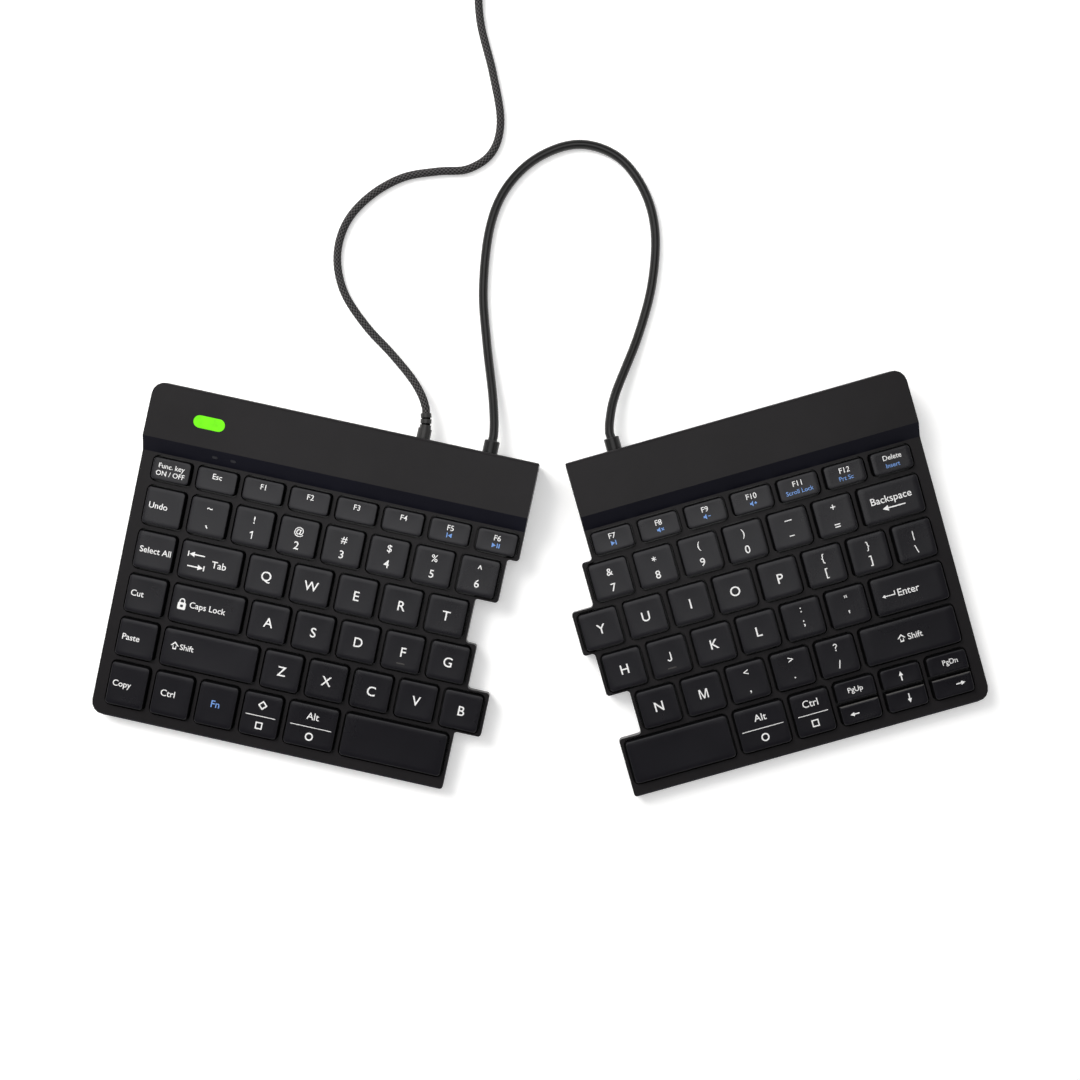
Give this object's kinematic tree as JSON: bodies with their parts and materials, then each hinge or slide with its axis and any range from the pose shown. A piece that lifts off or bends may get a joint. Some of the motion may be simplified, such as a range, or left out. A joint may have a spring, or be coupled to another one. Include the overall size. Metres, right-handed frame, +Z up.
{
  "type": "ergonomic split keyboard",
  "caption": "Split ergonomic keyboard: low tilted key halves with stepped inner edges and raised rear bars, joined by a link cable, with a braided lead and plug.",
  "frame": {"origin": "on the table, in the middle of the box round both halves without the cords", "axes": "+X to the typist's right, +Y away from the typist, +Z up from the table"},
  "size_m": [0.3712, 0.4013, 0.0169],
  "materials": {
    "case": "fine satin texture",
    "tray": "matte",
    "keycap": "soft matte",
    "steel": "brushed",
    "film": "dark film",
    "rubber": "matte",
    "link_plastic": "matte",
    "board": "solder mask",
    "lamp": "lit lens",
    "status_lens": "smoked",
    "sheath": "smooth",
    "braid": "braided",
    "strap": "hook and loop",
    "plug_grip": "satin",
    "plug_shell": "plated",
    "legend": "printed",
    "legend_blue": "printed"
  },
  "bodies": {
    "left_half": {"left_top_case": "case", "left_bottom_case": "tray", "left_key_plate": "steel", "left_membrane": "film", "left_rubber_domes": "rubber", "left_scissors": "link_plastic", "controller_board": "board", "indicator_lens": "lamp", "status_lenses": "status_lens", "left_feet": "rubber", "left_screws": "steel", "usb_strain_relief": "rubber", "left_link_relief": "rubber", "link_cable": "sheath", "usb_cord": "braid", "usb_coil": "braid", "coil_tie": "strap", "usb_plug_body": "plug_grip", "usb_plug_shell": "plug_shell"},
    "right_half": {"right_top_case": "case", "right_bottom_case": "tray", "right_key_plate": "steel", "right_membrane": "film", "right_rubber_domes": "rubber", "right_scissors": "link_plastic", "link_board": "board", "right_feet": "rubber", "right_screws": "steel", "right_link_relief": "rubber"},
    "func_lock_key": {"func_lock_key": "keycap"},
    "escape_key": {"escape_key": "keycap"},
    "left_function_keys": {"left_function_keys": "keycap"},
    "left_number_keys": {"left_number_keys": "keycap"},
    "left_shortcut_keys": {"left_shortcut_keys": "keycap"},
    "tab_key": {"tab_key": "keycap"},
    "left_upper_letter_keys": {"left_upper_letter_keys": "keycap"},
    "caps_lock_key": {"caps_lock_key": "keycap"},
    "left_home_letter_keys": {"left_home_letter_keys": "keycap"},
    "left_shift_key": {"left_shift_key": "keycap"},
    "left_lower_letter_keys": {"left_lower_letter_keys": "keycap"},
    "left_modifier_keys": {"left_modifier_keys": "keycap"},
    "left_alt_key": {"left_alt_key": "keycap"},
    "left_space_bar": {"left_space_bar": "keycap"},
    "right_function_keys": {"right_function_keys": "keycap"},
    "delete_key": {"delete_key": "keycap"},
    "right_number_keys": {"right_number_keys": "keycap"},
    "backspace_key": {"backspace_key": "keycap"},
    "right_upper_letter_keys": {"right_upper_letter_keys": "keycap"},
    "enter_key": {"enter_key": "keycap"},
    "right_home_letter_keys": {"right_home_letter_keys": "keycap"},
    "right_shift_key": {"right_shift_key": "keycap"},
    "right_lower_letter_keys": {"right_lower_letter_keys": "keycap"},
    "right_space_bar": {"right_space_bar": "keycap"},
    "right_modifier_keys": {"right_modifier_keys": "keycap"},
    "page_up_key": {"page_up_key": "keycap"},
    "left_arrow_key": {"left_arrow_key": "keycap"},
    "up_arrow_key": {"up_arrow_key": "keycap"},
    "down_arrow_key": {"down_arrow_key": "keycap"},
    "page_down_key": {"page_down_key": "keycap"},
    "right_arrow_key": {"right_arrow_key": "keycap"}
  },
  "joints": [
    {"name": "right_half_splay", "type": "hinge", "parent": "left_half", "child": "right_half", "pos_m": [0.00627, 0.05001, 0], "axis": [0, 0, 1], "range_deg": [-12, 12], "deforming": ["link_cable"]},
    {"name": "func_lock_key_press", "type": "slide", "parent": "left_half", "child": "func_lock_key", "axis": [0.0093, 0.0426, -0.999], "range_m": [0, 0.0018], "stiffness_N_per_m": 330, "springref_m": -0.0004, "deforming": ["left_rubber_domes", "left_scissors"]},
    {"name": "escape_key_press", "type": "slide", "parent": "left_half", "child": "escape_key", "axis": [0.0093, 0.0426, -0.999], "range_m": [0, 0.0018], "stiffness_N_per_m": 330, "springref_m": -0.0004, "deforming": ["left_rubber_domes", "left_scissors"]},
    {"name": "left_function_keys_press", "type": "slide", "parent": "left_half", "child": "left_function_keys", "axis": [0.0093, 0.0426, -0.999], "range_m": [0, 0.0018], "stiffness_N_per_m": 1980, "springref_m": -0.0004, "deforming": ["left_rubber_domes", "left_scissors"]},
    {"name": "left_number_keys_press", "type": "slide", "parent": "left_half", "child": "left_number_keys", "axis": [0.0093, 0.0426, -0.999], "range_m": [0, 0.0018], "stiffness_N_per_m": 2310, "springref_m": -0.0004, "deforming": ["left_rubber_domes", "left_scissors"]},
    {"name": "left_shortcut_keys_press", "type": "slide", "parent": "left_half", "child": "left_shortcut_keys", "axis": [0.0093, 0.0426, -0.999], "range_m": [0, 0.0018], "stiffness_N_per_m": 1650, "springref_m": -0.0004, "deforming": ["left_rubber_domes", "left_scissors"]},
    {"name": "tab_key_press", "type": "slide", "parent": "left_half", "child": "tab_key", "axis": [0.0093, 0.0426, -0.999], "range_m": [0, 0.0018], "stiffness_N_per_m": 330, "springref_m": -0.0004, "deforming": ["left_rubber_domes", "left_scissors"]},
    {"name": "left_upper_letter_keys_press", "type": "slide", "parent": "left_half", "child": "left_upper_letter_keys", "axis": [0.0093, 0.0426, -0.999], "range_m": [0, 0.0018], "stiffness_N_per_m": 1650, "springref_m": -0.0004, "deforming": ["left_rubber_domes", "left_scissors"]},
    {"name": "caps_lock_key_press", "type": "slide", "parent": "left_half", "child": "caps_lock_key", "axis": [0.0093, 0.0426, -0.999], "range_m": [0, 0.0018], "stiffness_N_per_m": 330, "springref_m": -0.0004, "deforming": ["left_rubber_domes", "left_scissors"]},
    {"name": "left_home_letter_keys_press", "type": "slide", "parent": "left_half", "child": "left_home_letter_keys", "axis": [0.0093, 0.0426, -0.999], "range_m": [0, 0.0018], "stiffness_N_per_m": 1650, "springref_m": -0.0004, "deforming": ["left_rubber_domes", "left_scissors"]},
    {"name": "left_shift_key_press", "type": "slide", "parent": "left_half", "child": "left_shift_key", "axis": [0.0093, 0.0426, -0.999], "range_m": [0, 0.0018], "stiffness_N_per_m": 330, "springref_m": -0.0004, "deforming": ["left_rubber_domes", "left_scissors"]},
    {"name": "left_lower_letter_keys_press", "type": "slide", "parent": "left_half", "child": "left_lower_letter_keys", "axis": [0.0093, 0.0426, -0.999], "range_m": [0, 0.0018], "stiffness_N_per_m": 1650, "springref_m": -0.0004, "deforming": ["left_rubber_domes", "left_scissors"]},
    {"name": "left_modifier_keys_press", "type": "slide", "parent": "left_half", "child": "left_modifier_keys", "axis": [0.0093, 0.0426, -0.999], "range_m": [0, 0.0018], "stiffness_N_per_m": 990, "springref_m": -0.0004, "deforming": ["left_rubber_domes", "left_scissors"]},
    {"name": "left_alt_key_press", "type": "slide", "parent": "left_half", "child": "left_alt_key", "axis": [0.0093, 0.0426, -0.999], "range_m": [0, 0.0018], "stiffness_N_per_m": 330, "springref_m": -0.0004, "deforming": ["left_rubber_domes", "left_scissors"]},
    {"name": "left_space_bar_press", "type": "slide", "parent": "left_half", "child": "left_space_bar", "axis": [0.0093, 0.0426, -0.999], "range_m": [0, 0.0018], "stiffness_N_per_m": 330, "springref_m": -0.0004, "deforming": ["left_rubber_domes", "left_scissors"]},
    {"name": "right_function_keys_press", "type": "slide", "parent": "right_half", "child": "right_function_keys", "axis": [-0.0119, 0.042, -0.999], "range_m": [0, 0.0018], "stiffness_N_per_m": 1980, "springref_m": -0.0004, "deforming": ["right_rubber_domes", "right_scissors"]},
    {"name": "delete_key_press", "type": "slide", "parent": "right_half", "child": "delete_key", "axis": [-0.0119, 0.042, -0.999], "range_m": [0, 0.0018], "stiffness_N_per_m": 330, "springref_m": -0.0004, "deforming": ["right_rubber_domes", "right_scissors"]},
    {"name": "right_number_keys_press", "type": "slide", "parent": "right_half", "child": "right_number_keys", "axis": [-0.0119, 0.042, -0.999], "range_m": [0, 0.0018], "stiffness_N_per_m": 1980, "springref_m": -0.0004, "deforming": ["right_rubber_domes", "right_scissors"]},
    {"name": "backspace_key_press", "type": "slide", "parent": "right_half", "child": "backspace_key", "axis": [-0.0119, 0.042, -0.999], "range_m": [0, 0.0018], "stiffness_N_per_m": 330, "springref_m": -0.0004, "deforming": ["right_rubber_domes", "right_scissors"]},
    {"name": "right_upper_letter_keys_press", "type": "slide", "parent": "right_half", "child": "right_upper_letter_keys", "axis": [-0.0119, 0.042, -0.999], "range_m": [0, 0.0018], "stiffness_N_per_m": 2640, "springref_m": -0.0004, "deforming": ["right_rubber_domes", "right_scissors"]},
    {"name": "enter_key_press", "type": "slide", "parent": "right_half", "child": "enter_key", "axis": [-0.0119, 0.042, -0.999], "range_m": [0, 0.0018], "stiffness_N_per_m": 330, "springref_m": -0.0004, "deforming": ["right_rubber_domes", "right_scissors"]},
    {"name": "right_home_letter_keys_press", "type": "slide", "parent": "right_half", "child": "right_home_letter_keys", "axis": [-0.0119, 0.042, -0.999], "range_m": [0, 0.0018], "stiffness_N_per_m": 1980, "springref_m": -0.0004, "deforming": ["right_rubber_domes", "right_scissors"]},
    {"name": "right_shift_key_press", "type": "slide", "parent": "right_half", "child": "right_shift_key", "axis": [-0.0119, 0.042, -0.999], "range_m": [0, 0.0018], "stiffness_N_per_m": 330, "springref_m": -0.0004, "deforming": ["right_rubber_domes", "right_scissors"]},
    {"name": "right_lower_letter_keys_press", "type": "slide", "parent": "right_half", "child": "right_lower_letter_keys", "axis": [-0.0119, 0.042, -0.999], "range_m": [0, 0.0018], "stiffness_N_per_m": 1650, "springref_m": -0.0004, "deforming": ["right_rubber_domes", "right_scissors"]},
    {"name": "right_space_bar_press", "type": "slide", "parent": "right_half", "child": "right_space_bar", "axis": [-0.0119, 0.042, -0.999], "range_m": [0, 0.0018], "stiffness_N_per_m": 330, "springref_m": -0.0004, "deforming": ["right_rubber_domes", "right_scissors"]},
    {"name": "right_modifier_keys_press", "type": "slide", "parent": "right_half", "child": "right_modifier_keys", "axis": [-0.0119, 0.042, -0.999], "range_m": [0, 0.0018], "stiffness_N_per_m": 660, "springref_m": -0.0004, "deforming": ["right_rubber_domes", "right_scissors"]},
    {"name": "page_up_key_press", "type": "slide", "parent": "right_half", "child": "page_up_key", "axis": [-0.0119, 0.042, -0.999], "range_m": [0, 0.0018], "stiffness_N_per_m": 330, "springref_m": -0.0004, "deforming": ["right_rubber_domes", "right_scissors"]},
    {"name": "left_arrow_key_press", "type": "slide", "parent": "right_half", "child": "left_arrow_key", "axis": [-0.0119, 0.042, -0.999], "range_m": [0, 0.0018], "stiffness_N_per_m": 330, "springref_m": -0.0004, "deforming": ["right_rubber_domes", "right_scissors"]},
    {"name": "up_arrow_key_press", "type": "slide", "parent": "right_half", "child": "up_arrow_key", "axis": [-0.0119, 0.042, -0.999], "range_m": [0, 0.0018], "stiffness_N_per_m": 330, "springref_m": -0.0004, "deforming": ["right_rubber_domes", "right_scissors"]},
    {"name": "down_arrow_key_press", "type": "slide", "parent": "right_half", "child": "down_arrow_key", "axis": [-0.0119, 0.042, -0.999], "range_m": [0, 0.0018], "stiffness_N_per_m": 330, "springref_m": -0.0004, "deforming": ["right_rubber_domes", "right_scissors"]},
    {"name": "page_down_key_press", "type": "slide", "parent": "right_half", "child": "page_down_key", "axis": [-0.0119, 0.042, -0.999], "range_m": [0, 0.0018], "stiffness_N_per_m": 330, "springref_m": -0.0004, "deforming": ["right_rubber_domes", "right_scissors"]},
    {"name": "right_arrow_key_press", "type": "slide", "parent": "right_half", "child": "right_arrow_key", "axis": [-0.0119, 0.042, -0.999], "range_m": [0, 0.0018], "stiffness_N_per_m": 330, "springref_m": -0.0004, "deforming": ["right_rubber_domes", "right_scissors"]}
  ]
}
